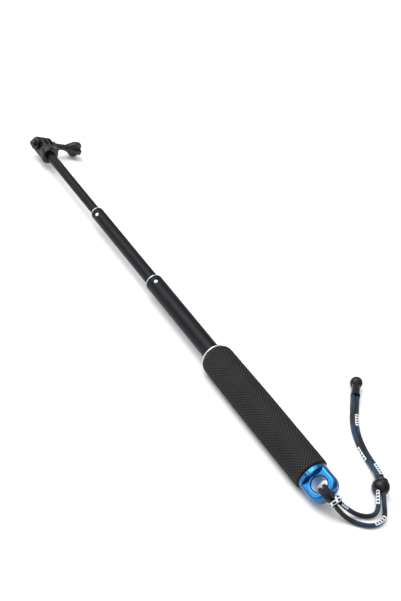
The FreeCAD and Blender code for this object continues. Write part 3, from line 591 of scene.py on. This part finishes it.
def make_cord():
    near = braided_cord("braided_cord", 0.060, 3.0)
    sparse = braided_cord("braided_cord_outer", 0.066, 0.0)
    banded = braided_cord("braided_cord_hitch", 0.0165, 0.0)
    lock = [NODES["cord_lock_body"], NODES["cord_lock_button"]]
    toggle = NODES["cord_toggle"]
    hitch = make_hitch(banded)
    make_strand("strand_inner", [from_tip(spot) for spot in STRAND_INNER], "cord_strand_inner",
                near, "fitting", 0.005, lay="loose", with_pieces=lock + [toggle, hitch])
    make_strand("strand_outer", [from_tip(spot) for spot in STRAND_OUTER], "cord_strand_outer",
                sparse, "fitting", 0.022, lay="loose", with_pieces=[toggle])
    for name, sideways in (("upper", LEG_SIDEWAYS), ("lower", -LEG_SIDEWAYS)):
        make_strand("leg_" + name, leg_route(sideways), "cord_anchor_" + name, sparse, "knot",
                    0.03, lay="taut", with_pieces=[hitch])


# ------------------------------------------------------------------ rubber grip
GRIP_TAPER = 0.7 * MM
GRIP_STRAIGHT = 0.55           # share of the length before the taper starts
GRIP_EDGE = 1.2 * MM
GRIP_SHOULDER = 6.5 * MM
GRIP_SHOULDER_DROP = 2.9 * MM
DIAMONDS = 32                  # round the grip
DIAMOND_SAMPLES = 7
GROOVE_DEPTH = 0.6 * MM
GROOVE_SHARE = 0.26            # half a groove's width, as a share of a diamond
# The palest part of a diamond's point is a painted highlight.
PALE_SHARE = 0.42              # where a diamond's point is palest
BORE_GAP = 0.03 * MM


def grip_profile(along):
    """The grip's outer radius at a place along it, as a share of its length."""
    full = GRIP_RADIUS
    length = GRIP_END - GRIP_START
    place = along * length
    top = full - GRIP_TAPER
    taper_start = GRIP_STRAIGHT * length
    if place < GRIP_EDGE:
        inset = GRIP_EDGE - place
        return full - GRIP_EDGE + math.sqrt(max(0.0, GRIP_EDGE ** 2 - inset ** 2))
    if place < taper_start:
        return full
    if place < length - GRIP_SHOULDER:
        share = (place - taper_start) / (length - taper_start - GRIP_SHOULDER)
        return full + (top - full) * share
    drop = (place - (length - GRIP_SHOULDER)) / GRIP_SHOULDER
    return top - GRIP_SHOULDER_DROP * (1 - math.sqrt(max(0.0, 1 - drop * drop)))


def make_grip(material):
    """A rubber sleeve with a knurl of crossed diagonal grooves."""
    samples = DIAMOND_SAMPLES
    around = DIAMONDS * samples
    length = GRIP_END - GRIP_START
    pitch = 2 * math.pi * GRIP_RADIUS / DIAMONDS
    rings = round(length / pitch * samples)
    points, painted_highlight_mask = [], []
    for ring in range(rings + 1):
        along = ring / rings
        place = along * length
        radius = grip_profile(along)
        edge = min(1.0, place / (2.2 * MM), (length - place) / (5.0 * MM))
        for turn in range(around):
            first = turn / samples + ring / samples
            second = turn / samples - ring / samples
            groove = min(abs(first - round(first)), abs(second - round(second)))
            crest = min(1.0, groove / GROOVE_SHARE)
            out = radius - GROOVE_DEPTH * (1 - crest) * max(0.0, edge)
            angle = 2 * math.pi * turn / around
            points.append((GRIP_START + place, AXIS_Y + out * math.cos(angle),
                           AXIS_Z + out * math.sin(angle)))
            # Share of the painted highlight at each point: most on the diamonds' points, none in
            # the grooves, which get painted shade.
            painted_highlight_mask.append(min(1.0, groove / PALE_SHARE) ** 2)
    faces = []
    for ring in range(rings):
        for turn in range(around):
            after = (turn + 1) % around
            faces.append((ring * around + turn, ring * around + after,
                          (ring + 1) * around + after, (ring + 1) * around + turn))
    low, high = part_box("handle_tube")
    bore = (high.z - low.z) / 2 + BORE_GAP
    for ring, flip in ((0, True), (rings, False)):
        start = len(points)
        for turn in range(around):
            angle = 2 * math.pi * turn / around
            points.append((GRIP_START + ring / rings * length, AXIS_Y + bore * math.cos(angle),
                           AXIS_Z + bore * math.sin(angle)))
            painted_highlight_mask.append(0.3)
        for turn in range(around):
            after = (turn + 1) % around
            face = (ring * around + turn, ring * around + after, start + after, start + turn)
            faces.append(tuple(reversed(face)) if flip else face)
    inner = len(points) - 2 * around
    for turn in range(around):
        after = (turn + 1) % around
        faces.append((inner + after, inner + turn, inner + around + turn,
                      inner + around + after))
    grip = new_piece("knurled_grip", points, faces, material)
    layer = grip.data.attributes.new("crest", "FLOAT", "POINT")
    layer.data.foreach_set("value", painted_highlight_mask)
    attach(grip, "handle")
    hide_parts("rubber_grip")


# ------------------------------------------------------------------ finishes on CAD nodes
def finish_node(name, material):
    """Give a carried-over part its finish, and nothing else."""
    node = NODES[name]
    node.data.materials.clear()
    node.data.materials.append(material)


def finish_nodes():
    black = anodised_metal("black_anodised", (0.002, 0.0028, 0.0042, 1),
                           (0.004, 0.0055, 0.008, 1), 0.0, 0.3, 0.13, 0.0)
    blue = anodised_metal("blue_anodised", (0.0, 0.095, 0.26, 1), (0.0, 0.155, 0.40, 1),
                          1.0, 0.2, 0.5, 0.5)
    silver = bright_metal("bright_rings", (0.60, 0.66, 0.70, 1), 0.42)
    steel = bright_metal("plated_steel", grey(0.55), 0.24)
    dark_steel = anodised_metal("black_steel", grey(0.01), grey(0.03), 0.6, 0.28, 0.4, 0.2)
    moulded = moulded_plastic("mount_plastic", grey(0.0025), grey(0.005), 0.24, 1800.0, 0.00004,
                              0.42)
    slippery = moulded_plastic("bush_plastic", grey(0.03), grey(0.045), 0.5, 1200.0, 0.00003)
    bead = moulded_plastic("bead_plastic", grey(0.0025), grey(0.005), 0.24, 1500.0, 0.00003, 0.3)
    seal = moulded_plastic("seal_rubber", grey(0.01), grey(0.015), 0.6, 900.0, 0.00003)
    for name in NODES:
        if name.endswith("_tube") or name == "head_insert":
            finish_node(name, black)
        elif name.endswith("_ring") or name.endswith("_rivet"):
            finish_node(name, silver)
        elif name.endswith("_bush") or name.endswith("_plug"):
            finish_node(name, slippery)
        elif name.endswith("_retainer") or name == "thumbscrew_stud":
            finish_node(name, steel)
        elif name in ("camera_mount", "thumbscrew_knob"):
            finish_node(name, moulded)
    finish_node("cap_nut", dark_steel)
    finish_node("end_cap", blue)
    finish_node("cap_seal", seal)
    for name in ("cord_lock_body", "cord_lock_button", "cord_toggle"):
        finish_node(name, bead)


place_camera()
make_cord()
finish_nodes()
make_grip(grip_rubber())
lay_floor()
light_studio()
